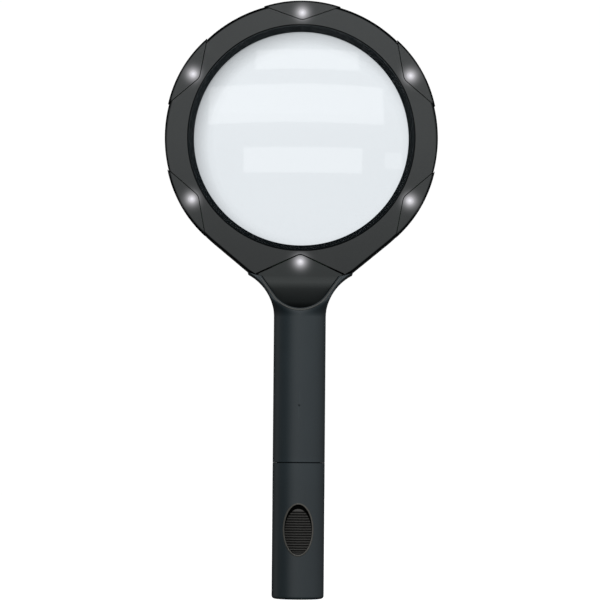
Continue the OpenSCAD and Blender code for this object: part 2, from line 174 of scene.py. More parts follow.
def rounded(corners, steps=6):
    """Closed outline of (x, y, radius) corners, each corner turned into an arc."""
    out = []
    count = len(corners)
    for i, (x, y, radius) in enumerate(corners):
        here = Vector((x, y))
        if radius <= 0:
            out.append((x, y))
            continue
        to_last = (Vector(corners[i - 1][:2]) - here).normalized()
        to_next = (Vector(corners[(i + 1) % count][:2]) - here).normalized()
        half = to_last.angle(to_next) / 2
        centre = here + (to_last + to_next).normalized() * radius / sin(half)
        first = here + to_last * radius / tan(half) - centre
        last = here + to_next * radius / tan(half) - centre
        sweep = first.angle_signed(last)
        for k in range(steps + 1):
            spoke = first.copy()
            spoke.rotate(Matrix.Rotation(-sweep * k / steps, 2))
            out.append(tuple(centre + spoke))
    return out


def skin(rows, wrap_rows=False, wrap_cols=True, close_ends=False):
    """Mesh data through rows of equal length, optionally closed both ways."""
    count = len(rows[0])
    verts = [p for row in rows for p in row]
    faces = []
    for i in range(len(rows) if wrap_rows else len(rows) - 1):
        j = (i + 1) % len(rows)
        for k in range(count if wrap_cols else count - 1):
            m = (k + 1) % count
            faces.append((i * count + k, i * count + m, j * count + m, j * count + k))
    if close_ends:
        faces.append(tuple(range(count)))
        faces.append(tuple(reversed(range((len(rows) - 1) * count, len(rows) * count))))
    return verts, faces


def join(*parts):
    """Several (verts, faces) pairs as one."""
    verts, faces = [], []
    for part_verts, part_faces in parts:
        base = len(verts)
        verts += part_verts
        faces += [tuple(base + i for i in face) for face in part_faces]
    return verts, faces


def finish_mesh(mesh, near, sharp, flat=0.9995, outward=False):
    """Merges points nearer than a distance in millimetres and shades smoothly up to the sharp
    angle; faces square to the front stay flat."""
    work = bmesh.new()
    work.from_mesh(mesh)
    bmesh.ops.remove_doubles(work, verts=work.verts, dist=near * MM)
    bmesh.ops.dissolve_degenerate(work, edges=work.edges, dist=(near - 0.001) * MM)
    if outward:
        bmesh.ops.recalc_face_normals(work, faces=work.faces)
    work.to_mesh(mesh)
    work.free()
    for poly in mesh.polygons:
        poly.use_smooth = abs(poly.normal.y) < flat
    mesh.set_sharp_from_angle(angle=radians(sharp))


def new_object(name, data):
    piece = bpy.data.objects.new(name, data)
    bpy.context.scene.collection.objects.link(piece)
    return piece


def new_shape(name, data, sharp=35, flat=0.9995):
    """Piece in metres from millimetre data, with its normals turned outwards."""
    verts, faces = data
    mesh = bpy.data.meshes.new(name)
    mesh.from_pydata([tuple(c * MM for c in v) for v in verts], [], faces)
    finish_mesh(mesh, 0.002, sharp, flat, outward=True)
    return new_object(name, mesh)


def carve(piece, cutter_data, operation="DIFFERENCE", sharp=35):
    """Cuts a closed shape out of a piece, adds it, or keeps only what lies inside it."""
    cutter = new_shape("cutter", cutter_data)
    step = piece.modifiers.new("carve", "BOOLEAN")
    step.object = cutter
    step.operation = operation
    step.solver = "EXACT"
    bpy.context.view_layer.update()
    graph = bpy.context.evaluated_depsgraph_get()
    mesh = bpy.data.meshes.new_from_object(piece.evaluated_get(graph))
    piece.modifiers.clear()
    spares = piece.data, cutter.data
    piece.data = mesh
    bpy.data.objects.remove(cutter)
    for spare in spares:
        bpy.data.meshes.remove(spare)
    finish_mesh(mesh, 0.003, sharp)


def soften(piece, width, angle=35, segments=3):
    """Rounds the sharp edges of a piece by a width in millimetres."""
    step = piece.modifiers.new("edge_round", "BEVEL")
    step.width = width * MM
    step.segments = segments
    step.limit_method = "ANGLE"
    step.angle_limit = radians(angle)
    step.miter_outer = "MITER_ARC"
    step.use_clamp_overlap = True
    even_normals(piece)


def even_normals(piece):
    """Keeps broad faces flat to the eye beside their rounded edges."""
    step = piece.modifiers.new("even_normals", "WEIGHTED_NORMAL")
    step.keep_sharp = True
    step.weight = 80


def paint(piece, material):
    piece.data.materials.clear()
    piece.data.materials.append(material)


def place(piece, body, slot, material, *nodes):
    """Rides a piece on its body, gives it its finish and hides the CAD nodes it stands for."""
    paint(piece, material)
    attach(piece, body)
    if nodes:
        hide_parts(*nodes)
    return piece


def prism(outline, y0, y1):
    """Closed upright block: a front-view (x, z) outline from y0 to y1."""
    rows = [[(x, y, z) for x, z in outline] for y in (y0, y1)]
    return skin(rows, close_ends=True)


def turned(profile, steps=RING_STEPS, centre=(0.0, HEAD_Z), closed=True):
    """Ring or disc turned about a front-to-back axis from a (radius, y) profile."""
    rows = []
    for i in range(steps):
        a = 2 * pi * i / steps
        rows.append([(centre[0] + r * cos(a), y, centre[1] + r * sin(a)) for r, y in profile])
    return skin(rows, wrap_rows=True, wrap_cols=closed)


def rod(x, z, y0, y1, radius, steps=48):
    """Closed round bar from front to back."""
    return prism(arc((x, z), radius, 0, 360 - 360 / steps, steps - 1), y0, y1)


def ring_place(angle, radius):
    a = radians(angle)
    return radius * cos(a), HEAD_Z + radius * sin(a)


def smooth(t):
    t = max(0.0, min(1.0, t))
    return t * t * (3 - 2 * t)


# ---- materials ----
# Paler tone of painted highlights on rims.
HIGHLIGHT_TONE = (0.066, 0.062, 0.054, 1)
SHADOW = (0.001, 0.0012, 0.0014, 1)
LAMP_WHITE = (0.97, 0.95, 1.0, 1)


class Nodes:
    """Short way to build the node tree of a new material or of a given owner."""

    def __init__(self, name="", owner=None):
        self.owner = owner or bpy.data.materials.new(name)
        self.owner.use_nodes = True
        self.tree = self.owner.node_tree
        self.tree.nodes.clear()

    def add(self, kind, inputs=None, **settings):
        made = self.tree.nodes.new(kind)
        for key, value in settings.items():
            setattr(made, key, value)
        for key, value in (inputs or {}).items():
            self.feed(made, key, value)
        return made

    def feed(self, made, key, value):
        socket = made.inputs[key]
        if isinstance(value, bpy.types.NodeSocket):
            self.tree.links.new(value, socket)
        else:
            socket.default_value = value

    def math(self, operation, a, b=0.0, c=0.0, clamp=False):
        made = self.add("ShaderNodeMath", {0: a, 1: b, 2: c}, operation=operation)
        made.use_clamp = clamp
        return made.outputs[0]

    def times(self, a, b):
        return self.math("MULTIPLY", a, b)

    def minus(self, a, b):
        return self.math("SUBTRACT", a, b)

    def length(self, a, b):
        """Length of a line that runs a across and b up."""
        return self.math("SQRT", self.math("MULTIPLY_ADD", a, a, self.times(b, b)))

    def mix(self, share, a, b):
        made = self.add("ShaderNodeMix", {0: share, 6: a, 7: b}, data_type="RGBA")
        return made.outputs[2]

    def ramp(self, value, *stops):
        """Colour ramp through (position, tone) stops; a tone is a colour or one grey value."""
        made = self.add("ShaderNodeValToRGB", {0: value})
        points = made.color_ramp.elements
        while len(points) < len(stops):
            points.new(0.5)
        for point, (position, tone) in zip(points, stops):
            point.position = position
            point.color = (*tone, 1) if isinstance(tone, tuple) else (tone, tone, tone, 1)
        return made.outputs[0]

    def place(self):
        return self.add("ShaderNodeTexCoord").outputs["Object"]

    def split(self, vector=None):
        """X, Y and Z of a vector, or of the place on the object, in metres."""
        vector = self.place() if vector is None else vector
        return self.add("ShaderNodeSeparateXYZ", {0: vector}).outputs

    def span(self, value, low, high, at_low=0.0, at_high=1.0):
        """Value carried from the range low..high in millimetres to at_low..at_high."""
        return self.add("ShaderNodeMapRange", {0: value, 1: low * MM, 2: high * MM, 3: at_low,
                                               4: at_high}).outputs[0]

    def noise(self, per_mm, detail=2.0, stretch=None):
        where = self.place()
        if stretch:
            where = self.add("ShaderNodeMapping", {0: where, 3: stretch}).outputs[0]
        return self.add("ShaderNodeTexNoise", {"Vector": where, "Scale": per_mm / MM,
                                               "Detail": detail}).outputs[0]

    def bump(self, height, depth_mm, strength=1.0):
        inputs = {"Height": height, "Distance": depth_mm * MM, "Strength": strength}
        return self.add("ShaderNodeBump", inputs).outputs[0]

    def surface(self, **inputs):
        shader = self.add("ShaderNodeBsdfPrincipled",
                          {key.replace("_", " "): value for key, value in inputs.items()})
        self.add("ShaderNodeOutputMaterial", {"Surface": shader.outputs[0]})
        return self.owner


def dim(tone, share):
    """A tone made darker or lighter by a share, as an opaque colour."""
    return (*[min(1, c * share) for c in tone], 1)


def moulded_plastic(name, tone, shine=0.38, grain=0.012, wear=0.35, glow=None, highlight=None,
                    shade=None):
    """Satin moulded plastic: fine spark-eroded grain, faint mottling and polished edges. Glow is
    the lamps' light painted on it, the highlight mask paints a paler highlight, and shade is a
    tone from 0 to 1 of painted shade that darkens edges, grooves and hollows."""
    n = Nodes(name)
    fine = n.noise(3.2, detail=3.0)
    broad = n.noise(0.07, detail=3.0)
    edge = n.add("ShaderNodeNewGeometry").outputs["Pointiness"]
    worn = n.ramp(edge, (0.52, 0), (0.62, 1))
    mottled = n.mix(broad, dim(tone, 0.86), dim(tone, 1.14))
    colour = n.mix(n.times(worn, wear), mottled, dim(tone, 1.9))
    if highlight is not None:
        # Painted highlight: a paler tone where the highlight mask is.
        colour = n.mix(highlight(n), colour, HIGHLIGHT_TONE)
    mirror = 1.5
    if shade is not None:
        # Painted shade: the colour goes towards SHADOW and the reflection weakens with it.
        light = shade(n)
        colour = n.mix(light, SHADOW, colour)
        mirror = n.math("MULTIPLY_ADD", light, 0.5, 1.0)
    rough = n.math("MULTIPLY_ADD", broad, 0.12, shine - 0.06)
    rough = n.math("MULTIPLY_ADD", fine, 0.10, n.minus(rough, 0.05))
    rough = n.math("MULTIPLY_ADD", worn, -0.06, rough)
    extra = {}
    if glow is not None:
        extra = {"Emission_Color": LAMP_WHITE, "Emission_Strength": glow(n)}
    return n.surface(Base_Color=colour, Roughness=rough, Normal=n.bump(fine, grain, 0.6),
                     IOR=mirror, **extra)


def lamp_place(name):
    drop = LAMP_DROP if name == "bottom" else 0
    return ring_place(LAMP_ANGLES[name], LAMP_RING_R - drop)


def lamp_glow(n, height=0.78, all_round=False):
    """Light of the nearest lamp: a soft round spot painted as glow on whatever faces the front, or
    on all sides.
    """
    spread, fall = 2.1, 1.5
    split = n.split()
    nearest = None
    for name in LAMP_ANGLES:
        x, z = lamp_place(name)
        dx = n.minus(split[0], x * MM)
        dz = n.minus(split[2], z * MM)
        square = n.math("MULTIPLY_ADD", dx, dx, n.times(dz, dz))
        nearest = square if nearest is None else n.math("MINIMUM", nearest, square)
    away = n.math("POWER", n.times(nearest, 1 / (spread * MM) ** 2), fall / 2)
    spot = n.times(n.math("EXPONENT", n.times(away, -1.0)), height)
    if all_round:
        return spot
    toward = facing_front(n)
    depth = n.span(split[1], -6.0, -6.8)
    in_hole = n.math("LESS_THAN", nearest, (1.07 * LAMP_R * MM) ** 2)
    return n.times(spot, n.math("MAXIMUM", in_hole, n.times(toward, depth)))


def facing_front(n):
    """How much a surface faces the front: 1 for the flat face, less on its rounded edges."""
    facing = n.split(n.add("ShaderNodeTexCoord").outputs["Normal"])[1]
    return n.math("MULTIPLY", facing, -1.0, clamp=True)


def face_shade(n):
    """Painted shade: dark rounded edges, and a face that falls off a little towards the handle."""
    edge = n.ramp(facing_front(n), (0.0, 0.9), (0.3, 0.12), (0.88, 0.12), (0.997, 1))
    return n.times(edge, n.span(n.split()[2], 136.0, 190.0, 0.84, 1.0))


def ring_shade(n):
    """Painted shade of the face, with a painted dark outline round the upper ring."""
    split = n.split()
    away = n.length(split[0], n.minus(split[2], HEAD_Z * MM))
    rim = n.span(away, HEAD_R - 1.25, HEAD_R - 0.95, 0.0, 0.95)
    upper = n.span(split[2], HEAD_Z - 5.0, HEAD_Z + 25.0)
    flat = n.math("GREATER_THAN", facing_front(n), 0.5)
    line = n.times(rim, n.times(upper, flat))
    return n.times(face_shade(n), n.minus(1.0, line))


def scoop_shade(n):
    """Painted shade: the bottom cover darkens as it sinks into the neck."""
    return n.ramp(n.span(n.split()[2], SCOOP_Z, 134.0), (0.0, 0.10), (0.1, 0.24), (0.2, 0.48),
                  (0.5, 0.54), (0.6, 0.60), (0.7, 0.82), (0.8, 1.0), (0.9, 0.88), (1.0, 0.71))


# Painted shade: the bezel darkens towards its bottom.
def bezel_shade(n):
    return n.span(n.split()[2], HEAD_Z - POCKET_R, HEAD_Z + POCKET_R, 0.25, 1.0)


def seam_shade(n):
    """Painted shade: a dark line in the seam between the cap and the grip."""
    off = n.math("ABSOLUTE", n.minus(n.split()[2], SEAM_Z * MM))
    return n.span(off, 0.10, 0.34, 0.10, 1.0)


def lip_distance(n):
    """Distance in metres outside the bottom cover's straight sides and round lip."""
    split = n.split()
    across = n.math("ABSOLUTE", split[0])
    up = n.minus(split[2], (SCOOP_Z + LIP_R) * MM)
    turn = radians(LIP_TURN)
    straight = n.minus(n.times(across, sin(turn)), n.times(up, cos(turn)))
    along = n.math("ADD", n.times(across, cos(turn)), n.times(up, sin(turn)))
    past = n.math("GREATER_THAN", along, 0.0)
    reach = n.add("ShaderNodeMix", {0: past, 2: n.length(across, up), 3: straight}).outputs[0]
    return n.minus(reach, LIP_R * MM)


def grip_shade(n):
    """Painted shade: a dark seam at the cap, a dark gap just outside the bottom cover and a dark
    gate mark.
    """
    gap = n.span(lip_distance(n), 0.30, 0.60, 0.25, 1.0)
    gap = n.math("MAXIMUM", gap, n.math("LESS_THAN", n.split()[2], (SCOOP_Z - 1) * MM))
    mark = n.add("ShaderNodeVectorMath", {0: n.place(), 1: (0, -HANDLE_D * MM, MARK_Z * MM)},
                 operation="DISTANCE").outputs["Value"]
    pit = n.span(mark, 0.2, 0.6, 0.35, 1.0)
    return n.times(seam_shade(n), n.times(gap, pit))


def lip_highlight(n):
    """Mask of a painted highlight on the raised rim round the bottom cover, at the front and fading
    out towards the top.
    """
    off = n.math("ABSOLUTE", n.minus(lip_distance(n), BEAD_OUT * MM))
    split = n.split()
    level = n.span(split[2], 131.0, 134.0, 1.0, 0.0)
    front = n.math("LESS_THAN", split[1], -4 * MM)
    return n.times(n.times(n.span(off, 0.15, 0.42, 0.55, 0.0), level), front)


def switch_rim_highlight(n):
    """Mask of a painted highlight on the rim round the switch opening."""
    wide, tall = OVAL_W + RIM, OVAL_H + RIM
    split = n.split()
    across = n.times(split[0], 1 / (MM * wide))
    up = n.math("MULTIPLY_ADD", split[2], 1 / (MM * tall), -SWITCH_Z / tall)
    reach = n.length(across, up)
    slope = n.length(n.times(across, 1 / (MM * wide)), n.times(up, 1 / (MM * tall)))
    off = n.math("DIVIDE", n.times(n.minus(reach, 1.0), reach), slope)
    ring = n.span(n.math("ABSOLUTE", off), 0.20, 0.42, 0.85, 0.0)
    front = n.math("LESS_THAN", split[1], -9 * MM)
    return n.times(ring, front)


def thumb_shade(n):
    """Painted shade: pale crests and dark grooves on the thumb piece, and a black guide deep in the
    opening.
    """
    split = n.split()
    reach = n.length(split[0], n.math("ADD", split[1], (HANDLE_D - HANDLE_W) * MM))
    along = n.span(reach, HANDLE_W - 1.2, HANDLE_W + 0.5)
    return n.ramp(along, (0.0, 0.16), (0.56, 0.28), (0.94, 1))


def lens_glass():
    """Clear moulded lens: a cool tint, with painted shade that greys it towards its upper left rim.
    """
    n = Nodes("lens_clear")
    split = n.split()
    lean = 2.6
    across = n.math("MULTIPLY_ADD", split[0], 1 / MM, -lean)
    up = n.math("MULTIPLY_ADD", split[2], 1 / MM, lean - HEAD_Z)
    share = n.add("ShaderNodeMapRange", {0: n.length(across, up), 1: 39.0, 2: 49.0}).outputs[0]
    clear = (0.762, 0.804, 0.838)
    stops = [(at, dim(clear, left)[:3])
             for at, left in ((0.0, 1.0), (0.25, 0.955), (0.5, 0.80), (0.75, 0.63), (1.0, 0.42))]
    return n.surface(Base_Color=n.ramp(share, *stops), Roughness=0.04, IOR=1.49,
                     Transmission_Weight=1.0)


def lamp_lens():
    """Clear epoxy lamp with its light showing through."""
    n = Nodes("lamp_lit")
    tint = n.mix(n.noise(0.9, detail=1.0), (0.93, 0.92, 1.0, 1), (1.0, 0.98, 1.0, 1))
    return n.surface(Base_Color=(0.06, 0.06, 0.07, 1), Roughness=0.2, Emission_Color=tint,
                     Emission_Strength=lamp_glow(n, 0.80, all_round=True))


def metal(name, tone, shine=0.28, stretch=(1, 1, 1)):
    """Plain or brushed metal: brushing runs along the stretched direction."""
    n = Nodes(name)
    brushed = n.noise(1.2, detail=4.0, stretch=stretch)
    patches = n.noise(0.15, detail=2.0)
    edge = n.add("ShaderNodeNewGeometry").outputs["Pointiness"]
    # Darker in the hollows, where the pointiness is low.
    darker_in_hollows = n.ramp(edge, (0.40, 1), (0.5, 0))
    colour = n.mix(patches, dim(tone, 0.85), dim(tone, 1.1))
    colour = n.mix(n.times(darker_in_hollows, 0.5), colour, dim(tone, 0.35))
    rough = n.math("MULTIPLY_ADD", brushed, 0.25, shine - 0.1)
    return n.surface(Base_Color=colour, Metallic=1.0, Roughness=rough,
                     Normal=n.bump(brushed, 0.01, 0.4))


def rubber(name, tone):
    n = Nodes(name)
    dust = n.noise(1.5, detail=4.0)
    return n.surface(Base_Color=n.mix(dust, (*tone, 1), dim(tone, 1.8)),
                     Roughness=n.math("MULTIPLY_ADD", dust, 0.2, 0.65),
                     Normal=n.bump(dust, 0.02, 0.5))


def laminate():
    """Circuit board: green mask over faint tracks."""
    n = Nodes("board_green")
    tracks = n.add("ShaderNodeTexWave", {"Vector": n.place(), "Scale": 0.35 / MM,
                                         "Distortion": 3.0}, wave_type="RINGS")
    lines = n.ramp(tracks.outputs[0], (0.45, 0), (0.55, 1))
    colour = n.mix(lines, (0.006, 0.045, 0.018, 1), (0.015, 0.11, 0.04, 1))
    return n.surface(Base_Color=colour, Roughness=0.3, Normal=n.bump(lines, 0.02, 0.4))


def insulation(name, tone):
    n = Nodes(name)
    flow = n.noise(0.8, detail=3.0)
    return n.surface(Base_Color=n.mix(flow, dim(tone, 0.8), (*tone, 1)),
                     Roughness=n.math("MULTIPLY_ADD", flow, 0.15, 0.3))


def chip_ceramic():
    n = Nodes("chip_ceramic")
    speck = n.noise(4.0, detail=3.0)
    colour = n.mix(speck, (0.012, 0.012, 0.014, 1), (0.035, 0.035, 0.04, 1))
    return n.surface(Base_Color=colour, Roughness=0.5, Normal=n.bump(speck, 0.01))


def cell_film(low):
    """Printed film of a plain cell: a dark body with a copper band at the positive end."""
    n = Nodes("cell_film_%d" % round(low))
    along = n.times(n.minus(n.split()[2], low * MM), 1 / (CELL_H * MM))
    dark, copper = (0.02, 0.022, 0.026), (0.62, 0.33, 0.14)
    band = n.ramp(along, (0.0, dark), (0.70, dark), (0.705, copper), (0.72, copper),
                  (0.725, (0.55, 0.28, 0.11)))
    crease = n.noise(0.5, detail=4.0, stretch=(1, 1, 0.25))
    colour = n.mix(n.times(crease, 0.2), band, (0.2, 0.2, 0.2, 1))
    share = n.ramp(along, (0.70, 0), (0.705, 0.75))
    return n.surface(Base_Color=colour, Metallic=share, Normal=n.bump(crease, 0.02, 0.4),
                     Roughness=n.math("MULTIPLY_ADD", crease, 0.15, 0.22))


CHARCOAL = (0.0132, 0.0206, 0.0248)
FACE_TONE = (0.0180, 0.0206, 0.0210)
# Face tone lifted about one and a half times as painted light, to make up for the sinking cover's
# tilt.
SCOOP_PAINTED_LIGHT_TONE = (0.0262, 0.0305, 0.0306)
BLACK = (0.0050, 0.0088, 0.0108)
# Face plastics carry the lamps' light as painted glow.
LAMPLIT = {"shine": 0.40, "wear": 0.0, "glow": lamp_glow}

shell_plastic = moulded_plastic("shell_plastic", CHARCOAL)
rear_plastic = moulded_plastic("rear_plastic", CHARCOAL, shade=seam_shade)
grip_plastic = moulded_plastic("grip_plastic", CHARCOAL, highlight=lip_highlight, shade=grip_shade)
cap_plastic = moulded_plastic("cap_plastic", CHARCOAL, highlight=switch_rim_highlight, shade=seam_shade)
face_plastic = moulded_plastic("face_plastic", FACE_TONE, shade=ring_shade, **LAMPLIT)
cover_plastic = moulded_plastic("cover_plastic", FACE_TONE, shade=face_shade, **LAMPLIT)
scoop_plastic = moulded_plastic("scoop_plastic", SCOOP_PAINTED_LIGHT_TONE, shade=scoop_shade, **LAMPLIT)
bezel_plastic = moulded_plastic("bezel_plastic", BLACK, shine=0.50, grain=0.003, wear=0.0,
                                shade=bezel_shade)
thumb_plastic = moulded_plastic("thumb_plastic", (0.036, 0.035, 0.033), shine=0.45, grain=0.02,
                                wear=0.0, shade=thumb_shade)
holder_plastic = moulded_plastic("holder_plastic", (0.01, 0.009, 0.008), shine=0.5)
steel = metal("plated_steel", (0.62, 0.63, 0.66))
spring_steel = metal("spring_steel", (0.68, 0.68, 0.70), shine=0.22)
brass = metal("spring_brass", (0.80, 0.60, 0.28), shine=0.3, stretch=(1, 1, 0.08))


# ---- head ----
def meet(one, other, reach):
    """Corner offset that keeps both sides, given by their unit normals, one reach away."""
    return (one + other) * (reach / (1 + one.dot(other)))


def head_outline(drop):
    """Points and outward normals round the head: the ring, its straight lower sides and its
    foot, which drops a little from the sides to the bottom cover's ends."""
    out = []
    start = -90 + degrees(FLARE_ANGLE)
    for i in range(RING_STEPS - 80):
        a = radians(start + (180 - 2 * start) * i / (RING_STEPS - 81))
        out.append((HEAD_R * cos(a), HEAD_Z + HEAD_R * sin(a), cos(a), sin(a)))
    x0, z0, nx, nz = out[-1]
    foot = NECK_TOP + 0.1
    foot_x = x0 + (z0 - foot) / tan(FLARE_ANGLE)
    left = [(x0 + (foot_x - x0) * i / 8.5, z0 + (foot - z0) * i / 8.5, nx, nz)
            for i in range(1, 9)]
    in_x = -SCOOP_W - 0.2
    side = Vector((nx, nz))
    fall = Vector((-drop, foot_x - in_x)).normalized()
    below = Vector((0, -1))
    small = 0.3
    left.append((foot_x, foot, *meet(side, fall, 1.0)))
    left.append((in_x, foot - drop, *meet(fall, below, small)))
    left += [(in_x * (1 - i / 9), foot - drop, 0, -small) for i in range(1, 9)]
    right = [(-x, z, -nx, nz) for x, z, nx, nz in reversed(left)]
    return out + left + [(0, foot - drop, 0, -small)] + right


def head_skin(profile, drop=0.0):
    """Loft of the head: each profile step is ('o', inset, y) from outside or ('i', out, y)."""
    rows = []
    for x, z, nx, nz in head_outline(drop):
        away = hypot(x, z - HEAD_Z)
        ux, uz = x / away, (z - HEAD_Z) / away
        row = []
        for side, step, y in profile:
            if side == "o":
                row.append((x - nx * step, y, z - nz * step))
            else:
                row.append((ux * (FACE_R + step), y, HEAD_Z + uz * (FACE_R + step)))
        rows.append(row)
    return skin(rows, wrap_rows=True)


def quarter(radius, steps=5):
    """Insets and drops of a quarter-round edge, from its side to its face."""
    out = []
    for i in range(steps + 1):
        a = pi / 2 * i / steps
        out.append((radius * (1 - cos(a)), radius * (1 - sin(a))))
    return out


def cover_outline(inset=0.0):
    """V-shaped cover outline, its radius along +Y; the V's tip is rounded."""
    tip = COVER_TIP + inset / cos(COVER_SLOPE)
    side_x = 30.0
    side = tip + side_x * tan(COVER_SLOPE)
    return rounded([(0, tip, 4.0), (side_x, side, 0), (side_x, 78, 0), (-side_x, 78, 0),
                    (-side_x, side, 0)], steps=12)


def turned_outline(outline, angle):
    """Moves a radial outline to its angle round the lens, in front view."""
    a = radians(angle - 90)
    c, s = cos(a), sin(a)
    return [(x * c - y * s, HEAD_Z + x * s + y * c) for x, y in outline]


def lip_path(grow=0.0):
    """Straight sides and round lip of the bottom cover, from the right shoulder to the left."""
    lip = arc((0, SCOOP_Z - 0.06 + LIP_R), LIP_R + grow, LIP_TURN - 90, -LIP_TURN - 90, 40)
    side_x, side_z = lip[0]
    rise = SHOULDER_Z - side_z
    shoulder_x = side_x + rise / tan(radians(LIP_TURN))
    side = [(side_x + (shoulder_x - side_x) * t, side_z + rise * t)
            for t in (1.0, 0.8, 0.6, 0.4, 0.2)]
    return side + lip + [(-x, z) for x, z in reversed(side)]


def shield_outline(grow=0.0, ends=0.0):
    """Bottom cover: an upturned V over straight sides that run into a round lip."""
    path = [(x, z, 0) for x, z in lip_path(grow)]
    ear_x, ear_z = SCOOP_W + 2 * grow, EAR_Z + ends
    return rounded([(0, SCOOP_TIP + 1.1 * grow, 3.0), (ear_x, ear_z, 0.35)] + path
                   + [(-ear_x, ear_z, 0.35)], steps=8)


def build_head_front():
    side = [("o", s, FACE_Y + d) for s, d in quarter(EDGE_ROUND)]
    lip = [("i", s, FACE_Y + d) for s, d in reversed(quarter(0.45))]
    pocket = POCKET_R - FACE_R
    inner = [("i", 0, FACE_Y + 0.6), ("i", pocket, FACE_Y + 0.6), ("i", pocket, 1.6),
             ("i", pocket + 1.2, 1.6), ("i", pocket + 1.2, FACE_Y + WALL)]
    close = [("o", WALL, FACE_Y + WALL), ("o", WALL, 0.0), ("o", 0.2, 0.0), ("o", 0.0, -0.2)]
    shell = head_skin(side + lip + inner + close, NECK_TOP - EAR_Z)
    piece = new_shape("head_front_casing", shell)
    for name, angle in LAMP_ANGLES.items():
        if name != "bottom":
            outline = turned_outline(cover_outline(), angle)
            carve(piece, prism(outline, FACE_Y - 2, -COVER_DEPTH))
    carve(piece, prism(shield_outline(SEAM_GAP + 0.1, SEAM_WIDE), FACE_Y - 2, -COVER_DEPTH))
    soften(piece, 0.12)
    place(piece, "handle", "shell", face_plastic, "head_front")


def build_head_rear():
    side = [("o", s, BACK_Y - d) for s, d in quarter(EDGE_ROUND)]
    bore = CLEAR_R + 1.0 - FACE_R
    inner = [("i", 0.3, BACK_Y), ("i", 0.0, BACK_Y - 0.3), ("i", bore, 3.4), ("i", bore, 1.9),
             ("i", bore + 0.2, 1.7), ("i", 2.8, 1.7), ("i", 2.8, BACK_Y - WALL)]
    close = [("o", WALL, BACK_Y - WALL), ("o", WALL, 0.0), ("o", 0.2, 0.0), ("o", 0.0, 0.2)]
    piece = new_shape("head_rear_casing", head_skin(side + inner + close))
    for i in range(6):
        x, z = ring_place(i * 60, SCREW_RING_R)
        carve(piece, rod(x, z, BACK_Y - 1.45, BACK_Y + 1, SCREW_R))
    soften(piece, 0.15)
    place(piece, "handle", "shell", shell_plastic, "head_rear")


def build_tongue():
    """Tongue under the neck, hidden between the handle shells."""
    wide, top = 8, NECK_TOP + 1.5
    outline = rounded([(-wide, rear_low.z, 1.5), (wide, rear_low.z, 1.5), (wide, top, 0),
                       (-wide, top, 0)])
    piece = new_shape("head_tongue", prism(outline, 2.0, 5.0))
    soften(piece, 0.3)
    place(piece, "handle", "shell", shell_plastic)


def build_covers():
    """Five V-shaped lamp covers, a little proud of the ring, each with its lamp hole."""
    reach = COVER_R - COVER_BULGE
    side = [(reach - s, FACE_Y + d) for s, d in quarter(COVER_ROUND)]
    heel = -COVER_DEPTH - 0.1
    profile = side + [(reach - 13, FACE_Y), (reach - 13, heel), (reach - 0.1, heel),
                      (reach, heel - 0.2)]
    for name, angle in LAMP_ANGLES.items():
        if name == "bottom":
            continue
        node = "led_cover_" + name
        ring = turned(profile, centre=ring_place(angle, COVER_BULGE))
        piece = new_shape(node + "_cap", ring)
        carve(piece, prism(turned_outline(cover_outline(SEAM_GAP), angle), FACE_Y - 2, 0),
              "INTERSECT")
        x, z = lamp_place(name)
        carve(piece, rod(x, z, FACE_Y - 2, 0, LAMP_R + HOLE_PLAY))
        soften(piece, 0.1)
        place(piece, "handle", "shell", cover_plastic, node)


def scoop_surface(z):
    """Front of the bottom cover: level with the face, then a fold that sinks to the lip."""
    fold, depth = 133.4, 4.0
    t = max(0.0, (fold - z) / (fold - SCOOP_Z))
    return FACE_Y + depth * t ** 1.7


def build_scoop():
    """Bottom lamp cover: one moulded sheet from the lamp down into the neck."""
    reach, step, thin, thick = 20.0, 0.5, 0.4, 1.4
    columns = [-reach + step * i for i in range(int(2 * reach / step) + 1)]
    rows = []
    for i in range(int((SCOOP_TIP - SCOOP_Z + 3) / step) + 1):
        z = SCOOP_Z - 1.5 + step * i
        y = scoop_surface(z)
        back = max(y + thin, min(y + thick, LAMP_FOOT_Y))
        rows.append([(x, y, z) for x in columns] + [(x, back, z) for x in reversed(columns)])
    piece = new_shape("led_cover_bottom_cap", skin(rows, close_ends=True))
    carve(piece, prism(shield_outline(-0.02), -20, 5), "INTERSECT")
    x, z = lamp_place("bottom")
    carve(piece, rod(x, z, FACE_Y - 2, 0, LAMP_R + HOLE_PLAY))
    soften(piece, 0.22)
    place(piece, "handle", "shell", scoop_plastic, "led_cover_bottom")


def build_bezel():
    """Black ring between the face and the lens: a thin nose, a deep cone and a round lip."""
    nose = FACE_R - 0.08
    foot = bezel_low.y + 0.5
    profile = rounded([(CLEAR_R, bezel_high.y, 0), (POCKET_R - 0.1, bezel_high.y, 0),
                       (POCKET_R - 0.1, foot, 0), (nose, foot, 0),
                       (nose, FACE_Y + 0.3, 0.12), (nose - 0.35, FACE_Y + 0.3, 0.15),
                       (CLEAR_R + 0.45, -4.3, 0.5), (CLEAR_R, -4.0, 0.25)], steps=4)
    piece = new_shape("lens_bezel_ring", turned(profile), sharp=50)
    place(piece, "handle", "bezel", bezel_plastic, "lens_bezel")


def build_lens():
    """Biconvex lens: two spherical faces and a short ground edge."""
    edge, rings = 1.5, 56
    sag = LENS_T / 2 - edge
    radius = (LENS_R ** 2 + sag ** 2) / (2 * sag)
    front = []
    for i in range(rings + 1):
        r = LENS_R * i / rings
        rise = sqrt(radius ** 2 - r ** 2) - (radius - sag)
        front.append((r, LENS_Y - edge - rise))
    back = [(r, 2 * LENS_Y - y) for r, y in reversed(front)]
    piece = new_shape("lens_blank", turned(front + back, closed=False), sharp=60, flat=2.0)
    return place(piece, "handle", "lens", lens_glass(), "lens")


